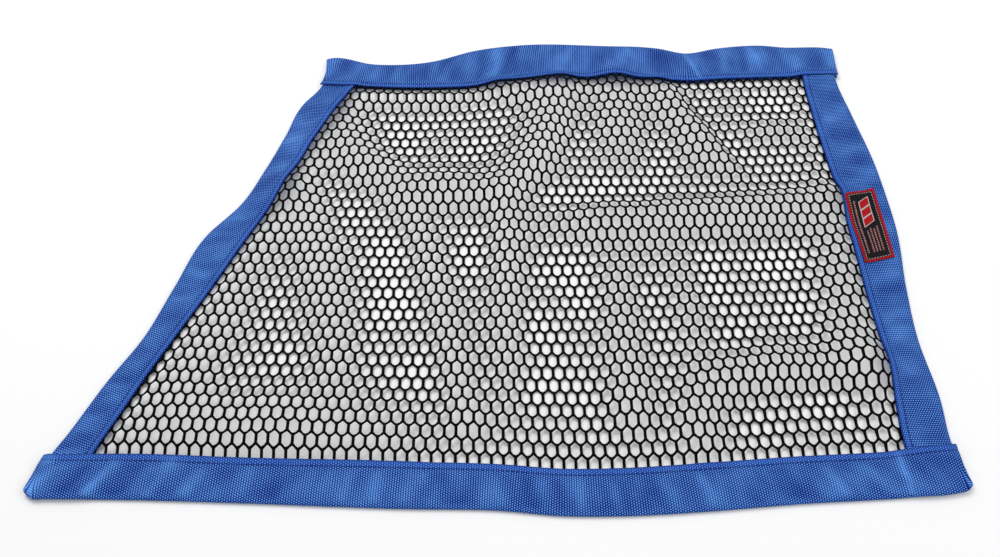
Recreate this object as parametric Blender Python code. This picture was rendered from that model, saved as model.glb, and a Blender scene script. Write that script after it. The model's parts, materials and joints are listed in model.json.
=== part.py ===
# Window net lying on a flat surface: a trapezoid of open hexagon mesh with woven tape round all four sides.
#
# The pieces are cut and sewn like the real ones. Tape folded over the left and right edges of the mesh
# makes the two side bindings. Wider tape folded over the top and bottom, across the ends of the bindings,
# makes two flattened rod sleeves that are open at both ends. A small label is sewn to the right binding.
#
# Everything lies on one shared middle surface: a plan outline with uneven sides, and a height that adds up
# the folds of the cloth. Each piece is a sheet laid a fixed distance above or below that surface.

import bpy
import bmesh
import numpy as np

MM = 0.001

# Driving sizes, in millimetres.
NET_THICKNESS = 1.0
TAPE_THICKNESS = 1.0
PIECE_GAP = 0.3
LABEL_GAP = 0.4
SEAM_DEPTH = 8.0            # how far the mesh and the bindings reach in under a sleeve
SLEEVE_WIDTH = 37.0         # flat width of a sleeve, from its seam edge to its fold
POCKET_GAP = 2.6            # what is left between the two layers of an empty sleeve
END_GAP = 0.8               # the same at the open ends, where the layers lie almost closed
FOLD_GAP = 1.0              # inside height of the turn along the outer edge of each tape
FREE_MARGIN = 1.0           # beyond this distance from the tapes the mesh counts as free
FLOOR_BLEND = 16.0          # over this distance the mesh comes down from a tape to the floor

# Station counts along the free mesh between the tapes.
COLUMNS = 46
ROWS = 30

# Where the bounding box of all the pieces has its centre, in the plan of the tables below.
CENTRE_X = -1.3
CENTRE_Y = 4.2

# Colours and surface values of the materials.
NET_BLACK = (0.012, 0.012, 0.013, 1.0)
TAPE_BLUE = (0.022, 0.105, 0.50, 1.0)
LABEL_BLACK = (0.010, 0.010, 0.012, 1.0)
CLOTH_ROUGHNESS = 0.75

# Plan of the two sleeves: across the cloth, where the seam edge runs and where the outer fold runs.
TOP_SLEEVE = (
    # x, seam edge y, outer fold y
    (-175.0, 193.0, 229.0),
    (-168.0, 192.5, 231.5),
    (-130.0, 191.5, 224.5),
    (-70.0, 190.5, 227.5),
    (-25.0, 193.0, 244.0),
    (20.0, 203.0, 252.0),
    (100.0, 203.0, 251.0),
    (158.0, 202.0, 247.0),
    (184.0, 200.5, 240.0),
    (215.0, 203.0, 247.0),
    (260.0, 205.0, 251.5),
    (292.0, 206.0, 247.5),
    (322.0, 207.0, 247.0),
    (330.0, 207.0, 245.5),
)
BOTTOM_SLEEVE = (
    # x, seam edge y, outer fold y
    (-347.0, -198.0, -226.5),
    (-341.0, -198.0, -231.5),
    (-330.0, -198.0, -232.0),
    (-290.0, -198.0, -232.0),
    (-193.0, -201.0, -234.5),
    (-75.0, -203.0, -239.0),
    (0.0, -205.0, -240.5),
    (45.0, -208.5, -244.5),
    (90.0, -208.0, -244.5),
    (150.0, -204.0, -241.0),
    (215.0, -199.0, -235.5),
    (297.0, -194.0, -230.5),
    (332.0, -190.0, -227.5),
    (340.0, -189.5, -225.5),
    (345.0, -189.0, -221.0),
)

# Plan of the two bindings: along the cloth, where the seam edge runs and where the outer fold runs.
LEFT_BINDING = (
    # y, seam edge x, outer fold x
    (250.0, -143.0, -172.0),
    (192.0, -141.5, -173.5),
    (166.0, -151.5, -190.0),
    (128.0, -169.0, -200.5),
    (85.0, -185.0, -214.0),
    (44.0, -200.5, -230.0),
    (9.0, -217.0, -254.5),
    (-45.0, -240.0, -272.0),
    (-96.0, -262.5, -288.0),
    (-135.0, -279.5, -307.5),
    (-175.0, -294.0, -324.5),
    (-198.0, -303.0, -334.5),
    (-240.0, -312.0, -345.0),
)
RIGHT_BINDING = (
    # y, seam edge x, outer fold x
    (250.0, 296.0, 328.0),
    (205.0, 294.5, 326.5),
    (154.0, 295.5, 333.0),
    (94.0, 298.5, 341.0),
    (57.0, 301.5, 343.0),
    (15.0, 301.5, 343.5),
    (-45.0, 302.5, 337.5),
    (-93.0, 304.0, 335.0),
    (-151.0, 304.0, 339.0),
    (-190.0, 302.0, 337.5),
    (-240.0, 309.0, 345.0),
)

# Folds of the lying cloth. Each one is a rounded ridge whose crest bends through three plan points.
FOLDS = (
    # name, start, middle and end of the crest, its height at those points, spread to its left and its right
    ("left rim of the basin", (-158, 160), (-116, 88), (-45, 64), (9, 11, 10), 20, 24),
    ("right rim of the basin", (-45, 64), (18, 79), (57, 180), (4, 14, 10), 24, 17),
    ("spine", (4, 48), (6, -30), (4, -150), (9, 8, 4), 13, 15),
    ("left spine", (-84, 48), (-58, -30), (-26, -172), (4, 6, 8), 15, 13),
    ("left slope", (-186, 62), (-152, -20), (-132, -110), (7, 7, 4), 20, 22),
    ("left border", (-178, 110), (-208, 0), (-250, -150), (6, 4, 6), 24, 22),
    ("left foot", (-280, -190), (-170, -172), (-80, -182), (5, 9, 4), 34, 34),
    ("shelf", (36, 28), (150, 34), (300, 54), (4, 11, 8), 15, 26),
    ("diagonal", (156, 192), (184, 132), (214, 84), (7, 11, 4), 10, 22),
    ("top bump", (112, 205), (112, 160), (108, 105), (9, 9, 3), 20, 24),
    ("top of the right rim", (0, 190), (30, 186), (60, 196), (5, 7, 6), 16, 18),
    ("column", (100, 0), (98, -80), (102, -165), (1, 6, 8), 17, 17),
    ("small column", (152, -10), (154, -60), (150, -120), (1, 4, 2), 15, 15),
    ("lower right ridge", (150, -185), (176, -132), (290, -120), (5, 10, 9), 20, 18),
    ("right border", (296, 0), (282, -70), (296, -130), (4, 7, 4), 20, 20),
    ("top left border", (-140, 182), (-70, 176), (0, 186), (5, 5, 3), 13, 16),
    ("corner dimple", (236, 136), (250, 136), (264, 134), (3, 4, 3), 16, 16),
)
CREST_STEPS = 41
TINY = 1e-9

# The label on the right binding: its edges and its middle as shares of the binding's width, its ends as y.
# Every sheet that crosses or fills a binding has points on these three lines, and the mesh ends at the last.
LABEL_ACROSS = (0.08, 0.45, 0.78)
LABEL_TOP = 60.0
LABEL_BOTTOM = -24.0

# Section of a folded tape, from the seam edge of its upper layer round the fold to that of its lower one.
# A share of the tape's width places the points of the flat layers; FOLD marks those round the turn.
FOLD = 1.0
BINDING_SECTION = (
    # share across, angle
    (0.0, 90.0),
    (LABEL_ACROSS[0], 90.0),
    (LABEL_ACROSS[1], 90.0),
    (LABEL_ACROSS[2], 90.0),
    (FOLD, 90.0),
    (FOLD, 0.0),
    (FOLD, -90.0),
    (LABEL_ACROSS[2], -90.0),
    (LABEL_ACROSS[1], -90.0),
    (LABEL_ACROSS[0], -90.0),
    (0.0, -90.0),
)
SEAM_SHARE = SEAM_DEPTH / SLEEVE_WIDTH
SLEEVE_SECTION = (
    # share across, angle
    (0.0, 90.0),
    (SEAM_SHARE, 90.0),
    (0.5, 90.0),
    (FOLD, 90.0),
    (FOLD, 40.0),
    (FOLD, -40.0),
    (FOLD, -90.0),
    (0.5, -90.0),
    (SEAM_SHARE, -90.0),
    (0.0, -90.0),
)

HALF_NET = NET_THICKNESS / 2
BINDING_INSIDE = HALF_NET + PIECE_GAP
BINDING_OUTSIDE = BINDING_INSIDE + TAPE_THICKNESS
CORNER_INSIDE = BINDING_OUTSIDE + PIECE_GAP
TAPE_LIFT = PIECE_GAP + TAPE_THICKNESS


def remove_everything():
    """Start from an empty scene."""
    for thing in list(bpy.data.objects):
        bpy.data.objects.remove(thing, do_unlink=True)


def through(table, column, at):
    """Smooth curve through one column of a table, held level past its ends."""
    rows = sorted(table)
    key = np.array([row[0] for row in rows])
    value = np.array([row[column] for row in rows])
    slope = np.gradient(value, key)
    at = np.clip(at, key[0], key[-1])
    i = np.clip(np.searchsorted(key, at) - 1, 0, len(key) - 2)
    step = key[i + 1] - key[i]
    t = (at - key[i]) / step
    rise = (2 * t ** 3 - 3 * t ** 2 + 1) * value[i] + (3 * t ** 2 - 2 * t ** 3) * value[i + 1]
    bend = (t ** 3 - 2 * t ** 2 + t) * slope[i] + (t ** 3 - t ** 2) * slope[i + 1]
    return rise + step * bend


def between(share, outer_low, inner_low, inner_high, outer_high):
    """Map -1..0 onto the low tape, 0..1 onto the free mesh and 1..2 onto the high tape."""
    low = inner_low + share * (inner_low - outer_low)
    free = inner_low + share * (inner_high - inner_low)
    high = inner_high + (share - 1) * (outer_high - inner_high)
    return np.where(share < 0, low, np.where(share > 1, high, free))


def plan(across, along):
    """Plan point for a share across (left to right) and a share along (bottom to top)."""
    across, along = np.broadcast_arrays(np.asarray(across, float), np.asarray(along, float))
    x = np.zeros(across.shape)
    for _ in range(12):
        y = between(along, through(BOTTOM_SLEEVE, 2, x), through(BOTTOM_SLEEVE, 1, x),
                    through(TOP_SLEEVE, 1, x), through(TOP_SLEEVE, 2, x))
        x = between(across, through(LEFT_BINDING, 2, y), through(LEFT_BINDING, 1, y),
                    through(RIGHT_BINDING, 1, y), through(RIGHT_BINDING, 2, y))
    return x, y


def bend(t, start, middle, end):
    """Quadratic curve that passes through three values at t = 0, 0.5 and 1."""
    pull = 2 * middle - (start + end) / 2
    return (1 - t) ** 2 * start + 2 * t * (1 - t) * pull + t ** 2 * end


def fold_height(x, y, fold):
    """Height that one fold adds at a plan point."""
    _, start, middle, end, heights, spread_left, spread_right = fold
    t = np.linspace(0, 1, CREST_STEPS)
    crest = np.stack([bend(t, start[i], middle[i], end[i]) for i in range(2)], axis=-1)
    ahead = np.gradient(crest, axis=0)
    dx = x[..., None] - crest[:, 0]
    dy = y[..., None] - crest[:, 1]
    nearest = np.hypot(dx, dy).argmin(-1)
    dx = np.take_along_axis(dx, nearest[..., None], -1)[..., 0]
    dy = np.take_along_axis(dy, nearest[..., None], -1)[..., 0]
    reach = np.hypot(dx, dy)
    length = np.hypot(ahead[nearest, 0], ahead[nearest, 1])
    leftness = (ahead[nearest, 0] * dy - ahead[nearest, 1] * dx) / np.maximum(length * reach, TINY)
    spread = spread_right + (spread_left - spread_right) * (1 + leftness) / 2
    return bend(t[nearest], *heights) * np.exp(-(reach / spread) ** 2)


def near(share, x_or_y, low_edge, high_edge):
    """1 on a tape, falling to 0 at FLOOR_BLEND inside its seam edge."""
    inside = np.minimum(x_or_y - low_edge, high_edge - x_or_y)
    inside = np.where((share <= 0) | (share >= 1), 0.0, inside)
    return 1 - np.clip(inside / FLOOR_BLEND, 0, 1)


def middle_height(across, along):
    """Height of the shared middle surface: the folds, and never lower than what lies under it needs."""
    x, y = plan(across, along)
    height = sum(fold_height(x, y, fold) for fold in FOLDS)
    beside = near(across, x, through(LEFT_BINDING, 1, y), through(RIGHT_BINDING, 1, y))
    under = near(along, y, through(BOTTOM_SLEEVE, 1, x), through(TOP_SLEEVE, 1, x))
    return HALF_NET + np.maximum(height, TAPE_LIFT * (beside + under))


def point(across, along, offset):
    """Space point a given height above (or below) the middle surface, in metres and never under the floor."""
    x, y = plan(across, along)
    z = middle_height(across, along) + offset
    return np.stack([x - CENTRE_X, y - CENTRE_Y, z], axis=-1) * MM


def sheet(name, lower, upper, material):
    """Closed sheet between two arrays of points of the same rows and columns."""
    rows, columns = lower.shape[:2]
    bm = bmesh.new()
    made = bmesh.ops.create_grid(bm, x_segments=columns - 1, y_segments=rows - 1, size=1)
    skin = sorted(made["verts"], key=lambda v: (round(v.co.y, 6), round(v.co.x, 6)))
    for vert, place in zip(skin, lower.reshape(-1, 3)):
        vert.co = place
    bm.verts.index_update()
    partner = {}
    for vert, place in zip(skin, upper.reshape(-1, 3)):
        partner[tuple(vert.co)] = place
    made = bmesh.ops.extrude_face_region(bm, geom=bm.faces[:], use_keep_orig=True)
    for item in made["geom"]:
        if isinstance(item, bmesh.types.BMVert):
            item.co = partner[tuple(item.co)]
    split_quads(bm)
    bmesh.ops.recalc_face_normals(bm, faces=bm.faces[:])
    mesh = bpy.data.meshes.new(name)
    bm.to_mesh(mesh)
    bm.free()
    mesh.shade_smooth()
    mesh.set_sharp_from_angle(angle=np.radians(50))
    mesh.materials.append(material)
    thing = bpy.data.objects.new(name, mesh)
    bpy.context.scene.collection.objects.link(thing)
    return thing


def is_free(corner):
    """True for a corner of the mesh that no tape covers."""
    x = corner.co.x / MM + CENTRE_X
    y = corner.co.y / MM + CENTRE_Y
    beside = through(LEFT_BINDING, 1, y) < x - FREE_MARGIN and x + FREE_MARGIN < through(RIGHT_BINDING, 1, y)
    under = through(BOTTOM_SLEEVE, 1, x) < y - FREE_MARGIN and y + FREE_MARGIN < through(TOP_SLEEVE, 1, x)
    return beside and under


def split_quads(bm):
    """Cut every quad in two. Layers at the tapes share one diagonal, so that they stay parallel, and on the
    free mesh it is the less steep one, so that it follows the folds."""
    for face in bm.faces[:]:
        corners = list(face.verts)
        first = min(range(4), key=lambda i: corners[i].co.x + corners[i].co.y)
        if all(is_free(corner) for corner in corners):
            rise = [abs(corners[i].co.z - corners[i - 2].co.z) for i in (0, 1)]
            first = rise.index(min(rise))
        bmesh.utils.face_split(face, corners[first], corners[(first + 2) % 4])


def cloth(name, colour):
    """Matt woven material."""
    material = bpy.data.materials.new(name)
    material.use_nodes = True
    surface = material.node_tree.nodes["Principled BSDF"]
    surface.inputs["Base Color"].default_value = colour
    surface.inputs["Roughness"].default_value = CLOTH_ROUGHNESS
    surface.inputs["Metallic"].default_value = 0.0
    return material


def net_stations():
    """Shares across and along at which the mesh and every tape have their points."""
    lines = np.array(LABEL_ACROSS)
    across = np.concatenate([-lines[::-1], np.linspace(0, 1, COLUMNS + 1), 1 + lines])
    along = np.concatenate([[-SEAM_SHARE], np.linspace(0, 1, ROWS + 1), [1 + SEAM_SHARE]])
    return across, along


def make_net(material):
    """The mesh panel, left uncut: one sheet that reaches in under all four tapes."""
    across, along = np.meshgrid(*net_stations())
    lower = point(across, along, -HALF_NET)
    upper = point(across, along, HALF_NET)
    return sheet("net_panel", lower, upper, material)


def tape_layers(section, width, inside):
    """Distance from the seam edge and height offset, for the inner and the outer face of a folded tape."""
    centre = width - FOLD_GAP / 2 - TAPE_THICKNESS
    faces = []
    for extra in (0.0, TAPE_THICKNESS):
        out = np.zeros(inside.shape)
        rise = np.zeros(inside.shape)
        for i, (share, degrees) in enumerate(section):
            angle = np.radians(degrees)
            reach = (FOLD_GAP / 2 + extra) * np.cos(angle)
            out[i] = centre + reach if share == FOLD else share * width
            rise[i] = (inside[i] + extra) * np.sin(angle)
        faces.append((out, rise))
    return faces


def make_binding(name, side, material):
    """Tape folded over the left (-1) or the right (1) edge of the mesh."""
    along = net_stations()[1]
    table = LEFT_BINDING if side < 0 else RIGHT_BINDING
    _, y = plan(0.0 if side < 0 else 1.0, along)
    width = np.abs(through(table, 2, y) - through(table, 1, y))
    inside = np.full((len(BINDING_SECTION), len(along)), BINDING_INSIDE)
    faces = []
    for out, rise in tape_layers(BINDING_SECTION, width, inside):
        share = out / width
        across = -share if side < 0 else 1 + share
        rows = np.broadcast_to(along, across.shape)
        faces.append(point(across, rows, rise))
    return sheet(name, faces[0], faces[1], material)


def sleeve_gaps(across):
    """Half of the space between a sleeve's layers along its seam: wider where a binding's end is inside."""
    free = 1.0 / COLUMNS
    return np.interp(across, (-1.16, -1.0, 0.0, free, 1 - free, 1.0, 2.0, 2.16),
                     (END_GAP / 2, CORNER_INSIDE, CORNER_INSIDE, BINDING_INSIDE,
                      BINDING_INSIDE, CORNER_INSIDE, CORNER_INSIDE, END_GAP / 2))


def make_sleeve(name, side, first, last, material):
    """Rod sleeve along the bottom (-1) or the top (1), its layers flattened on each other."""
    stations = net_stations()[0]
    ends_left = np.linspace(first, -1.0, 3)
    ends_right = np.linspace(2.0, last, 3)
    across = np.concatenate([ends_left, stations, ends_right])
    table = BOTTOM_SLEEVE if side < 0 else TOP_SLEEVE
    x, _ = plan(across, 0.0 if side < 0 else 1.0)
    width = np.abs(through(table, 2, x) - through(table, 1, x))
    seam = sleeve_gaps(across)
    is_end = (across < -1) | (across > 2)
    pocket = np.where(is_end, END_GAP / 2, POCKET_GAP / 2)
    fold = np.full(across.shape, FOLD_GAP / 2)
    inside = np.stack([seam if share <= SEAM_SHARE else pocket if share < FOLD else fold
                       for share, _ in SLEEVE_SECTION])
    faces = []
    for out, rise in tape_layers(SLEEVE_SECTION, width, inside):
        share = out / width
        along = -share if side < 0 else 1 + share
        places = point(np.broadcast_to(across, along.shape), along, rise)
        faces.append(places)
    floor_lower_layer(faces)
    return sheet(name, faces[0], faces[1], material)


def floor_lower_layer(faces):
    """Lift what would sink under the floor, and keep the layer's thickness above it."""
    inner, outer = faces
    sunk = np.maximum(-outer[..., 2], 0.0)
    outer[..., 2] += sunk
    inner[..., 2] = np.maximum(inner[..., 2], np.where(sunk > 0, TAPE_THICKNESS * MM, inner[..., 2]))


def make_label(material):
    """Label patch on the upper layer of the right binding, between two rows of its stations."""
    along = net_stations()[1]
    _, y = plan(1.0, along)
    along = along[(y <= LABEL_TOP) & (y >= LABEL_BOTTOM)]
    across, rows = np.meshgrid(1 + np.array(LABEL_ACROSS), along)
    low = BINDING_OUTSIDE + LABEL_GAP
    return sheet("label_patch", point(across, rows, low), point(across, rows, low + TAPE_THICKNESS), material)


def build():
    """Make every piece of the window net."""
    remove_everything()
    net = cloth("net_mesh_black", NET_BLACK)
    tape = cloth("woven_tape_blue", TAPE_BLUE)
    label = cloth("label_black", LABEL_BLACK)
    make_net(net)
    make_binding("left_binding", -1, tape)
    make_binding("right_binding", 1, tape)
    make_sleeve("top_sleeve", 1, -1.06, 2.1, tape)
    make_sleeve("bottom_sleeve", -1, -1.14, 2.06, tape)
    make_label(label)


build()
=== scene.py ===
# %% [markdown]
# # A window net, laid on a table
#
# The object is a trapezoid of black knitted mesh. Blue woven tape is folded over its two slanted edges,
# and wider tape is folded over its top and bottom, so that each makes a flat sleeve for a rod. It lies
# loosely, with soft folds. This lesson dresses the plain solids of the part with cloth that looks real.

import json
from math import cos, pi, radians

import bmesh
import bpy
import numpy as np
from mathutils import Matrix, Vector, noise

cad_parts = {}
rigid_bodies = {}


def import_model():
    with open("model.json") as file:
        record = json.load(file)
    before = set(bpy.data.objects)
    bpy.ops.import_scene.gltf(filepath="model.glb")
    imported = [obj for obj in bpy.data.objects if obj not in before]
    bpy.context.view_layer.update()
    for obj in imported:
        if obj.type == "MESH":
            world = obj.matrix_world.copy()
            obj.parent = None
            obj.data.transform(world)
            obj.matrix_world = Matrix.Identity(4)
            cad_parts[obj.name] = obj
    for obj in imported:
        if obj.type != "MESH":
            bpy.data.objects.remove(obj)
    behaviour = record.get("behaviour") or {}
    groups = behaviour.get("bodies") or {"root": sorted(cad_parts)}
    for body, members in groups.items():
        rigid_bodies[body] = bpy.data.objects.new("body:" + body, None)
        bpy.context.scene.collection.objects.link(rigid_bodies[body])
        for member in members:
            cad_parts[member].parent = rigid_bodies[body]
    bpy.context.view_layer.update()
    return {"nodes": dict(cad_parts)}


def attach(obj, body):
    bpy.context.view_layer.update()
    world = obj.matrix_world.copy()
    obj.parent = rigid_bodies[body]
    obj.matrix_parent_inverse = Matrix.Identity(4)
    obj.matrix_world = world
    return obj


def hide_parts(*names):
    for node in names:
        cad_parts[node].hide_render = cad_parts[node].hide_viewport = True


for thing in list(bpy.data.objects):
    bpy.data.objects.remove(thing, do_unlink=True)
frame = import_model()
MM = 0.001
print("solids:", ", ".join(sorted(frame["nodes"])))

# %% [markdown]
# ## Where the cloth lies
#
# All the pieces of the net lie on one uneven surface. Its outline comes from four short tables, one for
# each tape, with the seam edge and the outer fold at a few places. They could be drawn as curves by hand,
# but numbers keep the cloth and the solids of the part in exactly the same place. All of them are in
# millimetres.

# %% Outline of the cloth
CENTRE_X = -1.3
CENTRE_Y = 4.2
TOP_SLEEVE = (
    # x, seam edge y, outer fold y
    (-175.0, 193.0, 229.0),
    (-168.0, 192.5, 231.5),
    (-130.0, 191.5, 224.5),
    (-70.0, 190.5, 227.5),
    (-25.0, 193.0, 244.0),
    (20.0, 203.0, 252.0),
    (100.0, 203.0, 251.0),
    (158.0, 202.0, 247.0),
    (184.0, 200.5, 240.0),
    (215.0, 203.0, 247.0),
    (260.0, 205.0, 251.5),
    (292.0, 206.0, 247.5),
    (322.0, 207.0, 247.0),
    (330.0, 207.0, 245.5),
)
BOTTOM_SLEEVE = (
    # x, seam edge y, outer fold y
    (-347.0, -198.0, -226.5),
    (-341.0, -198.0, -231.5),
    (-330.0, -198.0, -232.0),
    (-290.0, -198.0, -232.0),
    (-193.0, -201.0, -234.5),
    (-75.0, -203.0, -239.0),
    (0.0, -205.0, -240.5),
    (45.0, -208.5, -244.5),
    (90.0, -208.0, -244.5),
    (150.0, -204.0, -241.0),
    (215.0, -199.0, -235.5),
    (297.0, -194.0, -230.5),
    (332.0, -190.0, -227.5),
    (340.0, -189.5, -225.5),
    (345.0, -189.0, -221.0),
)
LEFT_BINDING = (
    # y, seam edge x, outer fold x
    (250.0, -143.0, -172.0),
    (192.0, -141.5, -173.5),
    (166.0, -151.5, -190.0),
    (128.0, -169.0, -200.5),
    (85.0, -185.0, -214.0),
    (44.0, -200.5, -230.0),
    (9.0, -217.0, -254.5),
    (-45.0, -240.0, -272.0),
    (-96.0, -262.5, -288.0),
    (-135.0, -279.5, -307.5),
    (-175.0, -294.0, -324.5),
    (-198.0, -303.0, -334.5),
    (-240.0, -312.0, -345.0),
)
RIGHT_BINDING = (
    # y, seam edge x, outer fold x
    (250.0, 296.0, 328.0),
    (205.0, 294.5, 326.5),
    (154.0, 295.5, 333.0),
    (94.0, 298.5, 341.0),
    (57.0, 301.5, 343.0),
    (15.0, 301.5, 343.5),
    (-45.0, 302.5, 337.5),
    (-93.0, 304.0, 335.0),
    (-151.0, 304.0, 339.0),
    (-190.0, 302.0, 337.5),
    (-240.0, 309.0, 345.0),
)
SEAM, FOLD_EDGE = 1, 2
outline = (TOP_SLEEVE, BOTTOM_SLEEVE, LEFT_BINDING, RIGHT_BINDING)
print("outline: %d places along its four tapes" % sum(map(len, outline)))

# %% [markdown]
# ## Shares of the cloth
#
# A place on the cloth is given by two shares, one across it and one along it. From 0 to 1 they run over
# the free mesh, and past that over the tapes. Each edge bends with the place along it, so the plan point
# is found in a few rounds. Straight lines between the corners would be simpler, but wouldn't follow the
# width of every tape.

# %% From shares to the plan
PLAN_ROUNDS = 12


def through(table, column, at):
    """Smooth curve through one column of a table, held level past its ends."""
    rows = sorted(table)
    key = np.array([row[0] for row in rows])
    value = np.array([row[column] for row in rows])
    slope = np.gradient(value, key)
    at = np.clip(at, key[0], key[-1])
    i = np.clip(np.searchsorted(key, at) - 1, 0, len(key) - 2)
    step = key[i + 1] - key[i]
    t = (at - key[i]) / step
    rise = (2 * t ** 3 - 3 * t ** 2 + 1) * value[i] + (3 * t ** 2 - 2 * t ** 3) * value[i + 1]
    bend_over = (t ** 3 - 2 * t ** 2 + t) * slope[i] + (t ** 3 - t ** 2) * slope[i + 1]
    return rise + step * bend_over


def between(share, outer_low, inner_low, inner_high, outer_high):
    """Map -1..0 onto the low tape, 0..1 onto the free mesh and 1..2 onto the high tape."""
    low = inner_low + share * (inner_low - outer_low)
    free = inner_low + share * (inner_high - inner_low)
    high = inner_high + (share - 1) * (outer_high - inner_high)
    return np.where(share < 0, low, np.where(share > 1, high, free))


def plan(across, along):
    """Plan point for a share across (left to right) and a share along (bottom to top)."""
    across, along = np.broadcast_arrays(np.asarray(across, float), np.asarray(along, float))
    x = np.zeros(across.shape)
    for _ in range(PLAN_ROUNDS):
        y = between(along, through(BOTTOM_SLEEVE, FOLD_EDGE, x), through(BOTTOM_SLEEVE, SEAM, x),
                    through(TOP_SLEEVE, SEAM, x), through(TOP_SLEEVE, FOLD_EDGE, x))
        x = between(across, through(LEFT_BINDING, FOLD_EDGE, y), through(LEFT_BINDING, SEAM, y),
                    through(RIGHT_BINDING, SEAM, y), through(RIGHT_BINDING, FOLD_EDGE, y))
    return x, y


print("the free mesh is %.0f mm wide in the middle" % (plan(1, 0.5)[0] - plan(0, 0.5)[0]))

# %% [markdown]
# ## The folds
#
# A cloth that is put down loosely keeps low rounded ridges. Each one here is a crest through three
# points, with a height at each of them and a spread to either side, and the ridges add up. A cloth
# simulation could give folds too, but not these folds in these places. Beside the tapes the surface
# stays high enough for the layers of tape under it.

# %% Height of the cloth
FOLDS = (
    # name, start, middle and end of the crest, its height at those points, spread to its left and its right
    ("left rim of the basin", (-158, 160), (-116, 88), (-45, 64), (9, 11, 10), 20, 24),
    ("right rim of the basin", (-45, 64), (18, 79), (57, 180), (4, 14, 10), 24, 17),
    ("spine", (4, 48), (6, -30), (4, -150), (9, 8, 4), 13, 15),
    ("left spine", (-84, 48), (-58, -30), (-26, -172), (4, 6, 8), 15, 13),
    ("left slope", (-186, 62), (-152, -20), (-132, -110), (7, 7, 4), 20, 22),
    ("left border", (-178, 110), (-208, 0), (-250, -150), (6, 4, 6), 24, 22),
    ("left foot", (-280, -190), (-170, -172), (-80, -182), (5, 9, 4), 34, 34),
    ("shelf", (36, 28), (150, 34), (300, 54), (4, 11, 8), 15, 26),
    ("diagonal", (156, 192), (184, 132), (214, 84), (7, 11, 4), 10, 22),
    ("top bump", (112, 205), (112, 160), (108, 105), (9, 9, 3), 20, 24),
    ("top of the right rim", (0, 190), (30, 186), (60, 196), (5, 7, 6), 16, 18),
    ("column", (100, 0), (98, -80), (102, -165), (1, 6, 8), 17, 17),
    ("small column", (152, -10), (154, -60), (150, -120), (1, 4, 2), 15, 15),
    ("lower right ridge", (150, -185), (176, -132), (290, -120), (5, 10, 9), 20, 18),
    ("right border", (296, 0), (282, -70), (296, -130), (4, 7, 4), 20, 20),
    ("top left border", (-140, 182), (-70, 176), (0, 186), (5, 5, 3), 13, 16),
    ("corner dimple", (236, 136), (250, 136), (264, 134), (3, 4, 3), 16, 16),
)
HALF_NET = 0.5
TAPE = 1.0
GAP = 0.3
TAPE_LIFT = GAP + TAPE
FLOOR_BLEND = 16.0
CREST_STEPS = 41
TINY = 1e-9


def bend(t, start, middle, end):
    """Quadratic curve that passes through three values at t = 0, 0.5 and 1."""
    pull = 2 * middle - (start + end) / 2
    return (1 - t) ** 2 * start + 2 * t * (1 - t) * pull + t ** 2 * end


def fold_height(x, y, fold):
    """Height that one fold adds at a plan point."""
    _, start, middle, end, heights, spread_left, spread_right = fold
    t = np.linspace(0, 1, CREST_STEPS)
    crest = np.stack([bend(t, start[i], middle[i], end[i]) for i in range(2)], axis=-1)
    ahead = np.gradient(crest, axis=0)
    dx = x[..., None] - crest[:, 0]
    dy = y[..., None] - crest[:, 1]
    nearest = np.hypot(dx, dy).argmin(-1)
    dx = np.take_along_axis(dx, nearest[..., None], -1)[..., 0]
    dy = np.take_along_axis(dy, nearest[..., None], -1)[..., 0]
    reach = np.hypot(dx, dy)
    length = np.hypot(ahead[nearest, 0], ahead[nearest, 1])
    leftness = (ahead[nearest, 0] * dy - ahead[nearest, 1] * dx) / np.maximum(length * reach, TINY)
    spread = spread_right + (spread_left - spread_right) * (1 + leftness) / 2
    return bend(t[nearest], *heights) * np.exp(-(reach / spread) ** 2)


def inside_edges(x, y):
    """Distance from the seam edges of the side tapes, and of the sleeves, into the free mesh."""
    beside = np.minimum(x - through(LEFT_BINDING, SEAM, y), through(RIGHT_BINDING, SEAM, y) - x)
    under = np.minimum(y - through(BOTTOM_SLEEVE, SEAM, x), through(TOP_SLEEVE, SEAM, x) - y)
    return beside, under


def middle_height(x, y):
    """Height of the shared middle surface at a plan point."""
    height = sum(fold_height(x, y, fold) for fold in FOLDS)
    tapes = sum(1 - np.clip(inside / FLOOR_BLEND, 0, 1) for inside in inside_edges(x, y))
    return HALF_NET + np.maximum(height, TAPE_LIFT * tapes)


def place(across, along, offset):
    """Space point in metres, a given height above the middle surface."""
    x, y = plan(across, along)
    return np.stack([x - CENTRE_X, y - CENTRE_Y, middle_height(x, y) + offset], axis=-1) * MM


GRID_STEP = 2.5
GRID_END = 1.001
grid_x = np.arange(-360, 361, GRID_STEP)
grid_y = np.arange(-260, 261, GRID_STEP)
height_grid = middle_height(*np.meshgrid(grid_x, grid_y, indexing="ij"))
slope_grids = np.gradient(height_grid, GRID_STEP)
print("folds: %d, up to %.0f mm high" % (len(FOLDS), height_grid.max()))


def blend(grid, row, column):
    """Value of a grid at broken row and column numbers, in a straight line between its own points."""
    row = np.clip(row, 0, grid.shape[0] - GRID_END)
    column = np.clip(column, 0, grid.shape[1] - GRID_END)
    i, j = row.astype(int), column.astype(int)
    a, b = row - i, column - j
    low = grid[i, j] * (1 - a) + grid[i + 1, j] * a
    high = grid[i, j + 1] * (1 - a) + grid[i + 1, j + 1] * a
    return low * (1 - b) + high * b


def read(grid, x, y):
    """Value of one of the surface's grids at plan points."""
    return blend(grid, (x - grid_x[0]) / GRID_STEP, (y - grid_y[0]) / GRID_STEP)


# %% [markdown]
# ## A looser surface for the net
#
# Knitted yarn is springy, so between the tapes the net floats a little over that surface, unevenly, and
# arches up beside each seam. All of this fades out towards the tapes, where the net lies between layers.
# Slow noise is enough for it, because nobody can see which wave is where.

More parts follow.
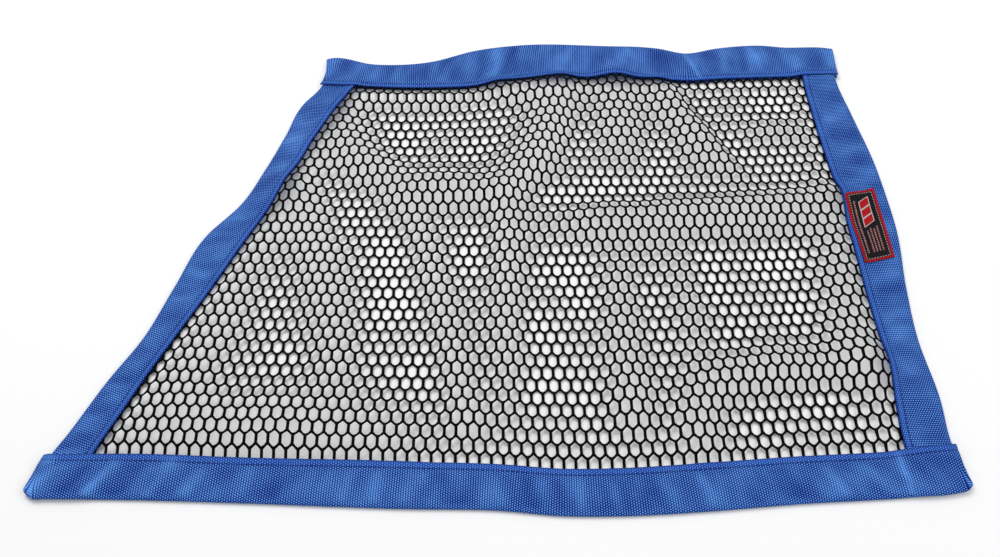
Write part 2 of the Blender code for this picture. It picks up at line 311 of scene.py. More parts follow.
# %% Where the net floats
UNEVEN = 3.0
UNEVEN_SPAN = 38.0
UNEVEN_BIAS = 0.3
HOVER = 0.6
ARCH = 2.2
ARCH_START = 2.0
ARCH_PLACE = 9.0
inside = np.minimum(*inside_edges(*np.meshgrid(grid_x, grid_y, indexing="ij")))
free_share = np.clip(inside / FLOOR_BLEND, 0, 1)
uneven = np.array([[noise.noise(Vector((x, y, 0)) / UNEVEN_SPAN) for y in grid_y] for x in grid_x])
arch_start = np.clip((inside - ARCH_START) / ARCH_PLACE, 0, 1)
arch = ARCH * arch_start * np.exp(-((inside - ARCH_PLACE) / ARCH_PLACE) ** 2)
net_grid = height_grid + (HOVER + UNEVEN * np.clip(uneven + UNEVEN_BIAS, 0, 1)) * free_share + arch
print("the net floats up to %.1f mm over the surface" % (net_grid - height_grid).max())


def upward(x, y):
    """Direction that points straight out of the cloth at plan points."""
    tilt = np.stack([-read(slope_grids[0], x, y), -read(slope_grids[1], x, y), np.ones(x.shape)], axis=-1)
    return tilt / np.linalg.norm(tilt, axis=-1, keepdims=True)


# %% [markdown]
# ## Camera
#
# The picture looks down on the net at a little over fifty degrees, through a normal lens, with the wide
# sleeve nearest. The even mesh gave the camera's place. Setting it by eye would bend the trapezoid.

# %% Camera
camera = bpy.data.cameras.new("camera")
camera.lens = 36.0
camera.sensor_width = 36.0
camera.sensor_fit = "HORIZONTAL"
camera.clip_start = 0.01
bpy.context.scene.view_settings.view_transform = "Standard"
eye = bpy.data.objects.new("camera", camera)
eye.location = (0.60 * MM, -526.34 * MM, 684.32 * MM)
eye.rotation_euler = (radians(90 - 54.5), 0, 0)
bpy.context.scene.collection.objects.link(eye)
bpy.context.scene.camera = eye
print("camera: %.2f m above the table" % eye.location.z)

# %% [markdown]
# ## Writing finishes
#
# Yarn and weave are easiest to describe as sums of waves. The nodes could be placed and linked one by one,
# but a small class that turns +, - and * into Math nodes lets every finish read like the sum that it is.

# %% A way to write finishes
class Value:
    """A value in a finish. Sums that are written with it become Math nodes."""

    def __init__(self, finish, socket):
        self.finish = finish
        self.socket = socket

    def maths(self, operation, *values):
        return self.finish.add("ShaderNodeMath", {"operation": operation}, dict(enumerate(values)))

    def __add__(self, other):
        return self.maths("ADD", self, other)

    def __radd__(self, other):
        return self.maths("ADD", other, self)

    def __sub__(self, other):
        return self.maths("SUBTRACT", self, other)

    def __rsub__(self, other):
        return self.maths("SUBTRACT", other, self)

    def __mul__(self, other):
        return self.maths("MULTIPLY", self, other)

    def __rmul__(self, other):
        return self.maths("MULTIPLY", other, self)

    def __abs__(self):
        return self.maths("ABSOLUTE", self)

    def wave(self):
        """Sine of the value."""
        return self.maths("SINE", self)

    def at_least(self, other):
        return self.maths("MAXIMUM", self, other)

    def at_most(self, other):
        return self.maths("MINIMUM", self, other)

    def power(self, other):
        return self.maths("POWER", self, other)

    def smooth(self, low, high):
        """0 below low, 1 above high and a soft step between them."""
        return self.finish.add("ShaderNodeMapRange", {"interpolation_type": "SMOOTHSTEP"},
                               {"Value": self, "From Min": low, "From Max": high})


class Finish:
    """A material with one surface shader, and the nodes that feed it."""

    def __init__(self, name, **fixed):
        self.material = bpy.data.materials.new(name)
        self.material.use_nodes = True
        self.tree = self.material.node_tree
        self.surface = self.tree.nodes["Principled BSDF"]
        for socket, value in fixed.items():
            self.surface.inputs[socket.replace("_", " ")].default_value = value

    def add(self, kind, settings, sockets, output=0):
        """Add a node of a kind: first its settings, then the values or links of its sockets."""
        node = self.tree.nodes.new(kind)
        for name, value in settings.items():
            setattr(node, name, value)
        for name, value in sockets.items():
            self.feed(node.inputs[name], value)
        return Value(self, node.outputs[output])

    def feed(self, socket, value):
        """Link a value to a socket, or set it there."""
        if isinstance(value, Value):
            self.tree.links.new(value.socket, socket)
        else:
            socket.default_value = value

    def uv(self, name):
        """The two coordinates of a UV map, in metres of flat cloth."""
        vector = self.add("ShaderNodeUVMap", {"uv_map": name}, {})
        apart = {"Vector": vector}
        return [self.add("ShaderNodeSeparateXYZ", {}, apart, output) for output in (0, 1)]

    def mix(self, share, first, second):
        """Colour between two colours."""
        return self.add("ShaderNodeMix", {"data_type": "RGBA"}, {0: share, 6: first, 7: second}, 2)

    def clouds(self, vector, scale, detail=2.0):
        """Soft uneven values around one half."""
        return self.add("ShaderNodeTexNoise", {}, {"Vector": vector, "Scale": scale, "Detail": detail})

    def set(self, **sockets):
        """Feed the surface's own sockets."""
        for name, value in sockets.items():
            self.feed(self.surface.inputs[name.replace("_", " ")], value)

    def relief(self, height, distance):
        """Give the surface a relief of a height, in metres."""
        self.set(Normal=self.add("ShaderNodeBump", {}, {"Height": height, "Distance": distance}))


print("finishes are written as sums of values")

# %% [markdown]
# ## Table and light
#
# A white table goes on well past the picture on every side. Large soft lamps, one from behind and one from
# the right, and a white room give almost no shadow beside the net and a soft grey under its holes. A bare
# sun lamp would draw hard shadows of all the strands.

# %% Table and light
OBJECT_PLACE = 3
TABLE_REACH = 4.0
TABLE_DROP = 0.1
table_finish = Finish("white table", Roughness=0.9)
table_place = table_finish.add("ShaderNodeTexCoord", {}, {}, OBJECT_PLACE)
table_shade = table_finish.clouds(table_place, 3.0)
table_finish.set(Base_Color=table_finish.mix(table_shade, (0.90, 0.90, 0.90, 1), (0.94, 0.94, 0.94, 1)))


def add_object(name, content):
    """Put a mesh or a lamp into the scene under its own name."""
    thing = bpy.data.objects.new(name, content)
    bpy.context.scene.collection.objects.link(thing)
    return thing


def finished_mesh(name, bm, finish):
    """Turn a bmesh into a smooth mesh with its finish."""
    mesh = bpy.data.meshes.new(name)
    bm.to_mesh(mesh)
    bm.free()
    mesh.shade_smooth()
    mesh.materials.append(finish.material)
    return mesh


bm = bmesh.new()
bmesh.ops.create_grid(bm, x_segments=1, y_segments=1, size=TABLE_REACH)
bmesh.ops.translate(bm, verts=bm.verts, vec=(0, 0, -TABLE_DROP * MM))
table = add_object("table", finished_mesh("table", bm, table_finish))

world = bpy.data.worlds.new("white room")
world.use_nodes = True
world.node_tree.nodes["Background"].inputs["Color"].default_value = (1, 1, 1, 1)
world.node_tree.nodes["Background"].inputs["Strength"].default_value = 0.55
bpy.context.scene.world = world


LAMP_SIZE = 1.2
LAMPS = (
    # name, power, place
    ("high lamp", 22, (-0.6, 0.9, 1.7)),
    ("side lamp", 10, (1.4, -0.3, 1.5)),
)
for name, power, spot in LAMPS:
    lamp = bpy.data.lights.new(name, "AREA")
    lamp.energy = power
    lamp.size = LAMP_SIZE
    lamp_object = add_object(name, lamp)
    lamp_object.location = spot
    lamp_object.rotation_euler = (-Vector(spot)).to_track_quat("-Z", "Y").to_euler()
print("lamps: %d, and a white room" % len(LAMPS))

# %% [markdown]
# ## The mesh
#
# The net is knitted: its uprights are two yarns twisted together, so they are about twice as wide as the
# slanting strands between them, and the holes are tall hexagons. One hexagon, repeated and merged, gives
# the whole pattern. Insetting every cell leaves a rim that rises to the crest of each strand, a copy of
# the rims without that crest gives the flat strips underneath, and one level of subdivision rounds both
# together. Threading curves along every strand would make them overlap at the joints instead.

# %% Flat net
CELL_WIDTH = 8.95
ROW_HEIGHT = 10.6
STRAND = 1.0
SLANT_CAGE = 0.74
UPRIGHT_CAGE = 1.18
SIDE_HOLD = 1.0
CORNER_HOLD = 1.0
CREST = STRAND / 0.75
ROWS = (-34, 9)
CELLS = (-28, 41)


def repeat(bm, step, count):
    """Copy all there is so that it stands count times in a row, one step apart."""
    pattern = bm.verts[:] + bm.edges[:] + bm.faces[:]
    for i in range(1, count):
        made = bmesh.ops.duplicate(bm, geom=pattern)
        copies = [item for item in made["geom"] if isinstance(item, bmesh.types.BMVert)]
        bmesh.ops.translate(bm, verts=copies, vec=Vector(step) * i)


def honeycomb():
    """Even hexagons with their points up and down, in flat millimetres, the first cell at the corner."""
    bm = bmesh.new()
    bmesh.ops.create_circle(bm, cap_ends=True, segments=6, radius=1)
    bmesh.ops.scale(bm, verts=bm.verts, vec=(CELL_WIDTH / 2 / cos(radians(30)), ROW_HEIGHT * 2 / 3, 1))
    repeat(bm, (CELL_WIDTH / 2, ROW_HEIGHT, 0), 2)
    repeat(bm, (CELL_WIDTH, 0, 0), CELLS[1] - CELLS[0])
    repeat(bm, (0, 2 * ROW_HEIGHT, 0), (ROWS[1] - ROWS[0]) // 2)
    bmesh.ops.translate(bm, verts=bm.verts, vec=(CELLS[0] * CELL_WIDTH, -ROWS[1] * ROW_HEIGHT, 0))
    return bm


bm = honeycomb()
print("flat pattern: %d cells" % len(bm.faces))
bm.free()

# %% [markdown]
# ## How the mesh lies
#
# On the real net every cell has the same size along the cloth, not on the table, so the cells look
# narrower where the cloth slopes. The net is laid on the folds row by row, parallel to the sleeves, and
# then its cells pull on each other like springs until they are even again. Under the tapes they stay where
# they are sewn. This little simulation runs on the centres of the cells only, so it takes a moment.

# %% Cells laid on the folds
FIRST_ROW = 5.3
LAST_ROW = -31.7
COLUMN_X = 34.6
COLUMN_CELL = 10.526
LEAN = 0.18
LEAN_ROW = 12.32
SEWN_IN = 3.0
PULL_STEPS = 360
PULL = 0.2
SLACK = 0.9


def laid(u, v):
    """Plan point of a cell, u cells across and v rows down, before the net has settled."""
    x = COLUMN_X + CELL_WIDTH * (u - COLUMN_CELL) + LEAN * (v + LEAN_ROW)
    low, high = through(BOTTOM_SLEEVE, SEAM, x), through(TOP_SLEEVE, SEAM, x)
    return x, low + (FIRST_ROW - v) / (FIRST_ROW - LAST_ROW) * (high - low)


cell_i, cell_j = np.meshgrid(np.arange(-34, 60), np.arange(-36, 11), indexing="ij")
cell_x, cell_y = laid(cell_i + cell_j / 2, cell_j.astype(float))
is_loose = np.minimum(*inside_edges(cell_x, cell_y)) > SEWN_IN
DIAGONAL = float(np.hypot(CELL_WIDTH / 2, ROW_HEIGHT))
NEIGHBOURS = (
    # step in i, step in j, distance
    (1, 0, CELL_WIDTH),
    (0, 1, DIAGONAL),
    (-1, 1, DIAGONAL),
)
for _ in range(PULL_STEPS):
    spots = np.stack([cell_x, cell_y, read(height_grid, cell_x, cell_y)], axis=-1)
    pull = np.zeros(spots.shape)
    for di, dj, distance in NEIGHBOURS:
        here = (slice(max(0, -di), len(spots) - max(0, di)), slice(0, spots.shape[1] - dj))
        there = (slice(max(0, di), len(spots) - max(0, -di)), slice(dj, spots.shape[1]))
        apart = spots[there] - spots[here]
        length = np.linalg.norm(apart, axis=-1, keepdims=True)
        force = (1 - SLACK * distance / length) * apart
        pull[here] += force
        pull[there] -= force
    out = upward(cell_x, cell_y)
    pull -= (pull * out).sum(-1, keepdims=True) * out
    cell_x += np.where(is_loose, pull[..., 0], 0) * PULL
    cell_y += np.where(is_loose, pull[..., 1], 0) * PULL
print("settled: %d loose cells" % is_loose.sum())


def settled(p, q):
    """Plan points of places on the flat net, p millimetres across and q along it."""
    j = -q / ROW_HEIGHT
    i = p / CELL_WIDTH - j / 2
    return [blend(grid, i - cell_i[0, 0], j - cell_j[0, 0]) for grid in (cell_x, cell_y)]


# %% [markdown]
# ## From cells to strands
#
# The cells that lie outside the panel go first. The rest are inset, lose their holes and get their
# thickness, all on the flat pattern. Only then does every point move to its place on the folds, so the
# strands keep an even width along the cloth.

# %% The net in one piece
UNDER_TAPE = 8.0


def keep_cells(bm):
    """Drop the cells that lie outside the panel, or deep under its tapes."""
    centres = np.array([face.calc_center_median()[:2] for face in bm.faces])
    depth = np.minimum(*inside_edges(*settled(centres[:, 0], centres[:, 1])))
    outside = [face for face, inside in zip(bm.faces, depth) if inside < -UNDER_TAPE]
    bmesh.ops.delete(bm, geom=outside, context="FACES")


def cut_holes(bm, is_crest):
    """Inset every cell, narrow its hole beside the uprights and take out what isn't strand."""
    holes = bm.faces[:]
    bmesh.ops.inset_individual(bm, faces=holes, thickness=SLANT_CAGE, use_even_offset=True)
    for vert in bm.verts:
        vert[is_crest] = 1
    narrow = (CELL_WIDTH / 2 - UPRIGHT_CAGE) / (CELL_WIDTH / 2 - SLANT_CAGE)
    for hole in holes:
        centre = hole.calc_center_median()
        for vert in hole.verts:
            vert[is_crest] = 0
            vert.co.x = centre.x + (vert.co.x - centre.x) * narrow
    half_strands = {face for edge in bm.edges if edge.is_boundary for face in edge.link_faces}
    hold_edge = bm.edges.layers.float.new("crease_edge")
    hold_corner = bm.verts.layers.float.new("crease_vert")
    for hole in holes:
        for edge in hole.edges:
            edge[hold_edge] = SIDE_HOLD
        for vert in hole.verts:
            vert[hold_corner] = CORNER_HOLD
    bmesh.ops.delete(bm, geom=holes + list(half_strands), context="FACES")


def give_thickness(bm, is_crest):
    """Raise the crests and close the strands with flat strips below and caps at their cut ends."""
    made = bmesh.ops.duplicate(bm, geom=bm.verts[:] + bm.edges[:] + bm.faces[:])
    below = [item for item in made["geom"] if isinstance(item, bmesh.types.BMEdge)]
    below_verts = {item for item in made["geom"] if isinstance(item, bmesh.types.BMVert)}
    for vert in bm.verts:
        if vert[is_crest] and vert not in below_verts:
            vert.co.z = CREST
    middles = [edge for edge in below if all(vert[is_crest] for vert in edge.verts)]
    bmesh.ops.dissolve_edges(bm, edges=middles, use_verts=False)
    bmesh.ops.remove_doubles(bm, verts=bm.verts, dist=0.001)
    ends = [edge for edge in bm.edges if edge.is_boundary]
    bmesh.ops.holes_fill(bm, edges=ends, sides=4)


def lay_net(bm):
    """Keep the flat places as a UV map, and move every point to where the net lies."""
    flat = bm.loops.layers.uv.new("flat cloth")
    for face in bm.faces:
        for loop in face.loops:
            loop[flat].uv = loop.vert.co.xy * MM
    bm.verts.ensure_lookup_table()
    places = np.array([vert.co for vert in bm.verts])
    x, y = settled(places[:, 0], places[:, 1])
    foot = np.stack([x - CENTRE_X, y - CENTRE_Y, read(net_grid, x, y)], axis=-1)
    lifted = foot + upward(x, y) * (places[:, 2:] - STRAND / 2)
    for vert, spot in zip(bm.verts, lifted * MM):
        vert.co = spot


bm = honeycomb()
bmesh.ops.remove_doubles(bm, verts=bm.verts, dist=0.01)
keep_cells(bm)
print("cells kept: %d" % len(bm.faces))
is_crest = bm.verts.layers.int.new("crest")
cut_holes(bm, is_crest)
give_thickness(bm, is_crest)
lay_net(bm)
bmesh.ops.recalc_face_normals(bm, faces=bm.faces)
print("open edges left: %d" % sum(not edge.is_manifold for edge in bm.edges))

# %% [markdown]
# ## Black yarn
#
# The yarn is nearly black, with a faint broken shine where its loops stand up, painted as a highlight into
# its colour. Two crossed waves make the loops, and a third one the plies. They follow the flat pattern of the
# net. Soft noise adds fluff and dust.

# %% Black yarn finish
yarn = Finish("black knitted yarn", Specular_IOR_Level=0.03)
across_yarn, along_yarn = yarn.uv("flat cloth")
TWIST = 2 * pi / (1.5 * MM)
PLY = 2 * pi / (0.75 * MM)
loops = ((along_yarn + across_yarn * 0.8) * TWIST).wave() * ((along_yarn - across_yarn * 0.8) * TWIST).wave()
plies = (along_yarn * PLY + (across_yarn * TWIST).wave()).wave()
knit = loops * 0.35 + plies * 0.15 + 0.5
yarn_place = yarn.add("ShaderNodeTexCoord", {}, {}, OBJECT_PLACE)
fluff = yarn.clouds(yarn_place, 900.0, 3.0)
dust = yarn.clouds(yarn_place, 60.0)
# Colour: a painted highlight on the standing loops, mixed with real fluff and dust.
loop_sheen_and_dust = (knit * 0.7 + fluff * 0.5) * (dust * 0.8 + 0.6)
deep_black = (0.0006, 0.0006, 0.0006, 1)
sheen_and_dust_black = (0.0065, 0.0060, 0.0060, 1)
yarn.set(Base_Color=yarn.mix(loop_sheen_and_dust.smooth(0.25, 1.1), deep_black, sheen_and_dust_black), Roughness=0.72 - knit * 0.2)
yarn.relief(knit + fluff * 0.3, 0.18 * MM)

net = add_object("mesh_of_the_net", finished_mesh("mesh_of_the_net", bm, yarn))
rounding = net.modifiers.new("rounding", "SUBSURF")
rounding.levels = 1
rounding.render_levels = 1
rounding.uv_smooth = "PRESERVE_CORNERS"


def triangles(piece):
    """Count the triangles of a piece with its modifiers."""
    seen = piece.evaluated_get(bpy.context.evaluated_depsgraph_get()).to_mesh()
    return sum(len(face.vertices) - 2 for face in seen.polygons)


print("net: %d triangles" % triangles(net))

# %% [markdown]
# ## Woven tape
#
# The tape is a heavy plain weave: ribs run across it, and yarns cross over them in turn, so that small
# bright crowns stand in rows with dark gaps between. It is folded lengthwise over the edge of the mesh and
# sewn close to its two edges. Each tape starts as a flat grid and is laid round that fold, station by
# station. The seam pulls a shallow groove, the strip beyond it stands up a little, and the empty sleeves
# keep soft ripples across them. A thickness and rounded edges come last.

# %% Section of a folded tape
SLEEVE_WIDTH = 37.0
SEAM_SHARE = 8.0 / SLEEVE_WIDTH
POCKET_GAP = 2.6
END_GAP = 0.8
FOLD_GAP = 1.0
BINDING_INSIDE = HALF_NET + GAP
CORNER_INSIDE = BINDING_INSIDE + TAPE + GAP
STITCH_LINE = 5.0
GROOVE = 0.40
GROOVE_SPREAD = 1.1
PROUD_STRIP = 0.25
STRIP_SPREAD = 1.5
FOLD_STEPS = 8
FLAT_STEPS = 22


def soft_step(share, low, high):
    """Smooth change from 0 at low to 1 at high."""
    t = np.clip((share - low) / (high - low), 0, 1)
    return t * t * (3 - 2 * t)


def section(width, gap_at):
    """Distance from the seam edge, height of the outer face and side (1 above, -1 below), round the fold."""
    centre = width - FOLD_GAP / 2 - TAPE
    radius = FOLD_GAP / 2 + TAPE
    shares = np.linspace(0, 1, FLAT_STEPS)[:-1]
    angles = np.linspace(pi / 2, -pi / 2, FOLD_STEPS + 1)
    flat = [share * centre for share in shares]
    gaps = [gap_at(out / width) + TAPE for out in flat]
    turned = [centre + radius * np.cos(angle) for angle in angles]
    turned_rise = [np.full(width.shape, radius * np.sin(angle)) for angle in angles]
    out = np.array(flat + turned + flat[::-1])
    rise = np.array(gaps + turned_rise + [-gap for gap in gaps[::-1]])
    side = np.array([1.0] * len(flat) + list(np.sin(angles)) + [-1.0] * len(flat))
    return out, rise, side[:, None]


def seam_relief(out):
    """What sewing does to the upper layer: a groove at the stitches and a full strip beyond it."""
    groove = np.exp(-((out - STITCH_LINE) / GROOVE_SPREAD) ** 2)
    strip = np.exp(-((out - STITCH_LINE / 2) / STRIP_SPREAD) ** 2)
    return PROUD_STRIP * strip - GROOVE * groove


print("section: %d places round the fold" % (2 * (FLAT_STEPS - 1) + FOLD_STEPS + 1))

# %% [markdown]
# ## Ripples and creases
#
# An empty sleeve keeps soft ripples across it, and a few single creases where it was bent. Slow noise,
# drawn out across the tape, gives the ripples. The creases are listed, one row of a table each.

# %% Ripples and creases
RIPPLE = 17.0
RIPPLE_STRETCH = 3
SMALL_RIPPLE = 0.4
SMALL_RIPPLE_RATE = 2.3


def ripples(u, out, seed):
    """Soft uneven waves that run across a tape."""
    waves = np.zeros(u.shape)
    for spot in np.ndindex(u.shape):
        at = Vector((u[spot] / RIPPLE, out[spot] / (RIPPLE_STRETCH * RIPPLE), seed))
        waves[spot] = noise.noise(at) + SMALL_RIPPLE * noise.noise(at * SMALL_RIPPLE_RATE)
    return waves


CREASES = (
    # start and end in the plan, height, spread
    ((182.0, 237.0), (195.0, 204.0), 0.9, 2.2),
    ((294.0, -198.0), (298.0, -229.0), 0.8, 2.6),
    ((-284.0, -206.0), (-300.0, -228.0), 0.6, 4.5),
    ((-243.0, -206.0), (-257.0, -228.0), 0.6, 4.5),
    ((-334.0, -203.0), (-346.0, -230.0), 1.0, 6.0),
)


def creases(x, y):
    """Height that the single creases of the sleeves add at plan points, in shares of a ripple."""
    height = np.zeros(x.shape)
    for start, end, rise, spread in CREASES:
        ahead = np.subtract(end, start)
        along = np.clip(((x - start[0]) * ahead[0] + (y - start[1]) * ahead[1]) / (ahead @ ahead), 0, 1)
        away = np.hypot(x - start[0] - along * ahead[0], y - start[1] - along * ahead[1])
        height += rise * np.exp(-(away / spread) ** 2)
    return height


print("creases placed by hand: %d" % len(CREASES))

# %% [markdown]
# ## A folded tape
#
# Each tape is followed station by station along its middle, at even steps of real cloth, and its section
# is laid there on the shared surface. Where each place came from on the flat cloth is kept beside it, for
# the weave. A curve with a bevel would be quicker, but it would twist, and it keeps no flat cloth.

# %% A folded tape
STATION = 2.0
FINE = 800
TAPE_ROUNDING = 0.3
BINDING_NARROWS = 0.78
SLEEVE_NARROWS = 0.62
POCKET_FULL = 0.55
POCKET_END = 0.35
FLAT_AT_SEAM = 7
FLAT_AT_FOLD = 6
SEAM_GAPS = (
    # station along a sleeve, half of the space between its layers at the seam
    (-1.16, END_GAP / 2),
    (-1.0, CORNER_INSIDE),
    (0.0, CORNER_INSIDE),
    (0.022, BINDING_INSIDE),
    (0.978, BINDING_INSIDE),
    (1.0, CORNER_INSIDE),
    (2.0, CORNER_INSIDE),
    (2.16, END_GAP / 2),
)


def distance_along(points):
    """Length of the way along a row of points, up to each of them."""
    steps = np.linalg.norm(np.diff(points, axis=0), axis=-1)
    return np.concatenate([[0], np.cumsum(steps)])


class Tape:
    """A tape folded over one side of the net: where each place of its flat cloth lies."""

    def __init__(self, table, side, is_sleeve, first, last, seed, wave, lean):
        self.table = table
        self.side = side
        self.is_sleeve = is_sleeve
        self.seed = seed
        self.wave = wave
        self.lean = lean
        fine = np.linspace(first, last, FINE)
        length = distance_along(self.middle(fine))
        count = int(length[-1] / STATION) + 1
        self.stations = np.interp(np.linspace(0, length[-1], count), length, fine)
        self.u = distance_along(self.middle(self.stations))
        self.width = self.width_at(self.stations)

    def shares(self, stations, out_share):
        """Shares across and along the whole cloth for a station and a share of the tape's width."""
        over = -out_share if self.side < 0 else 1 + out_share
        return (stations, over) if self.is_sleeve else (over, stations)

    def middle(self, stations):
        """Plan points down the middle of the tape."""
        return np.stack(plan(*self.shares(stations, 0.5)), axis=-1)

    def width_at(self, stations):
        """Flat width of the tape beside each station."""
        edge = plan(*self.shares(stations, 0.0))
        at = edge[0] if self.is_sleeve else edge[1]
        return np.abs(through(self.table, FOLD_EDGE, at) - through(self.table, SEAM, at))

    def gap(self, stations, share):
        """Half of the space between the two layers."""
        if not self.is_sleeve:
            return BINDING_INSIDE + (FOLD_GAP / 2 - BINDING_INSIDE) * soft_step(share, BINDING_NARROWS, 1.0)
        seam = np.interp(stations, *zip(*SEAM_GAPS))
        from_end = np.minimum(stations - self.stations[0], self.stations[-1] - stations)
        pocket = END_GAP / 2 + (POCKET_GAP - END_GAP) / 2 * soft_step(from_end, 0.0, POCKET_END)
        gap = seam + (pocket - seam) * soft_step(share, SEAM_SHARE, POCKET_FULL)
        return gap + (FOLD_GAP / 2 - gap) * soft_step(share, SLEEVE_NARROWS, 1.0)

    def waves(self, u, out, width):
        """Ripples in the upper layer, from about -1 to 1."""
        fade = soft_step(out, STITCH_LINE, STITCH_LINE + FLAT_AT_SEAM)
        fade = fade * (1 - soft_step(out, width - FLAT_AT_FOLD, width))
        lean = np.interp(u, (0, self.u[-1]), self.lean)
        return fade * ripples(u - lean * out, out, self.seed)

    def outer_face(self):
        """Points of the outer face, and the flat cloth's own coordinates there."""
        out, rise, side = section(self.width, lambda share: self.gap(self.stations, share))
        u = np.broadcast_to(self.u, out.shape)
        spot = self.shares(np.broadcast_to(self.stations, out.shape), out / self.width)
        # The ripple and crease heights also go to the finish, which paints crests lighter and troughs darker
        # as painted shade.
        waves = np.where(side > 0.99, self.waves(u, out, self.width) + creases(*plan(*spot)), 0)
        rise = rise + np.where(side > 0.99, seam_relief(out), 0) + self.wave * waves
        points = place(*spot, rise)
        points[..., 2] = np.maximum(points[..., 2], 0)
        centre = self.middle(self.stations)
        ahead = np.gradient(centre, axis=0)
        ahead /= np.linalg.norm(ahead, axis=-1, keepdims=True)
        away = points[..., :2] / MM + (CENTRE_X, CENTRE_Y) - centre
        u = u + (away * ahead).sum(-1)
        beside = away[..., 1] * ahead[:, 0] - away[..., 0] * ahead[:, 1]
        round_fold = np.cumsum(np.hypot(np.diff(beside, axis=0), np.diff(rise, axis=0)), axis=0)
        v = np.concatenate([np.zeros((1, out.shape[1])), round_fold])
        return points, np.stack([u, v], axis=-1) * MM, np.stack([out * MM, waves], axis=-1)


def laid_grid(points, maps):
    """Grid with its points laid in space, and a UV map for each named set of flat places."""
    rows, columns = points.shape[:2]
    bm = bmesh.new()
    made = bmesh.ops.create_grid(bm, x_segments=columns - 1, y_segments=rows - 1, size=1)
    skin = sorted(made["verts"], key=lambda v: (round(v.co.y, 6), round(v.co.x, 6)))
    row_of = {vert: row for row, vert in enumerate(skin)}
    for vert, point in zip(skin, points.reshape(-1, 3)):
        vert.co = point
    for name, spots in maps.items():
        layer = bm.loops.layers.uv.new(name)
        flat = spots.reshape(-1, 2)
        for face in bm.faces:
            for loop in face.loops:
                loop[layer].uv = flat[row_of[loop.vert]]
    return bm


def thicken(piece, thickness):
    """Give a skin its thickness, on its inner side."""
    shell = piece.modifiers.new("thickness", "SOLIDIFY")
    shell.thickness = thickness * MM
    shell.offset = -1


def woven_piece(name, tape, finish):
    """Grid laid on the outer face of a folded tape, given its thickness and rounded edges."""
    points, spots, edges = tape.outer_face()
    bm = laid_grid(points, {"flat cloth": spots, "edge and ripples": edges})
    if tape.is_sleeve == (tape.side < 0):
        bmesh.ops.reverse_faces(bm, faces=bm.faces)
    piece = add_object(name, finished_mesh(name, bm, finish))
    thicken(piece, TAPE)
    edge = piece.modifiers.new("edge", "BEVEL")
    edge.width = TAPE_ROUNDING * MM
    edge.segments = 2
    edge.limit_method = "ANGLE"
    edge.angle_limit = radians(60)
    return piece


print("stations: %.0f mm apart" % STATION)

# %% [markdown]
# ## Blue weave
#
# The pattern follows the flat cloth, so it comes from a UV map in real metres and bends with the tape.
# The product of two waves is a chessboard of yarns, one over and one under. Its crowns are painted lighter,
# a painted highlight, the gaps between them are painted deep blue, a painted shade, and the same value gives
# the relief. The ripples and creases are painted lighter on their crests and darker in their troughs, painted
# shade too. Slow clouds make the blue a little uneven, as dyed yarn is, and the sewn strip along the edge is
# denser, so its blue is fuller.

# %% Blue tape finish
RIB = 1.8 * MM
CROWN = 0.94 * MM
blue = Finish("blue woven tape", Specular_IOR_Level=0.06)
along_tape, across_tape = blue.uv("flat cloth")
from_edge, ripple = blue.uv("edge and ripples")
tape_place = blue.add("ShaderNodeTexCoord", {}, {}, OBJECT_PLACE)
drift = blue.clouds(tape_place, 45.0)
yarn_noise = blue.clouds(tape_place, 1400.0, 2.0)
ribs = ((along_tape + drift * 0.6 * MM) * (pi / RIB)).wave()
crowns = ((across_tape + drift * 0.4 * MM) * (pi / CROWN)).wave()
round_rib = abs(ribs).power(0.8)
weave_height = round_rib * (ribs * crowns * 0.36 + 0.64)
# Painted light and dye: crowns of the weave painted lighter and its gaps darker, ripples and creases painted
# lighter on crests and darker in troughs, and the uneven dye of the clouds.
painted_light_and_dye = weave_height + yarn_noise * 0.25 + drift * 0.25 + ripple * 0.24 - 0.23
# The darker blue is the painted shade of gaps and troughs, the brighter one the painted highlight of crowns
# and crests.
deep_blue = (0.0004, 0.014, 0.165, 1)
bright_blue = (0.132, 0.355, 0.90, 1)
body = blue.mix(painted_light_and_dye.smooth(0.28, 0.90), deep_blue, bright_blue)
strip = 1 - from_edge.smooth(3.8 * MM, 5.0 * MM)
# Painted shade: a dark line along the groove at the stitches, and a dark rim along the seam edge of both
# layers, both mixed towards the colour called dark.
line = 1 - abs(from_edge - STITCH_LINE * MM).smooth(0.2 * MM, 0.9 * MM)
rim = 1 - from_edge.smooth(0.2 * MM, 1.8 * MM)
painted_groove_and_edge_shade = (line * 0.45).at_least(rim * 0.6)
full_blue = (0.035, 0.125, 0.66, 1)
dark = (0.001, 0.012, 0.110, 1)
blue.set(Base_Color=blue.mix(painted_groove_and_edge_shade, blue.mix(strip * 0.25, body, full_blue), dark),
         Roughness=0.62 - weave_height * 0.18)
blue.relief(weave_height + yarn_noise * 0.25, 0.30 * MM)
print("weave: ribs %.1f mm apart" % (RIB / MM))

# %% [markdown]
# ## The four tapes
#
# The two bindings go on first, and the sleeves go round their ends, so each sleeve runs on past them. A
# station of 0 or 1 is the seam edge of a binding, and -1 or 2 its outer fold.

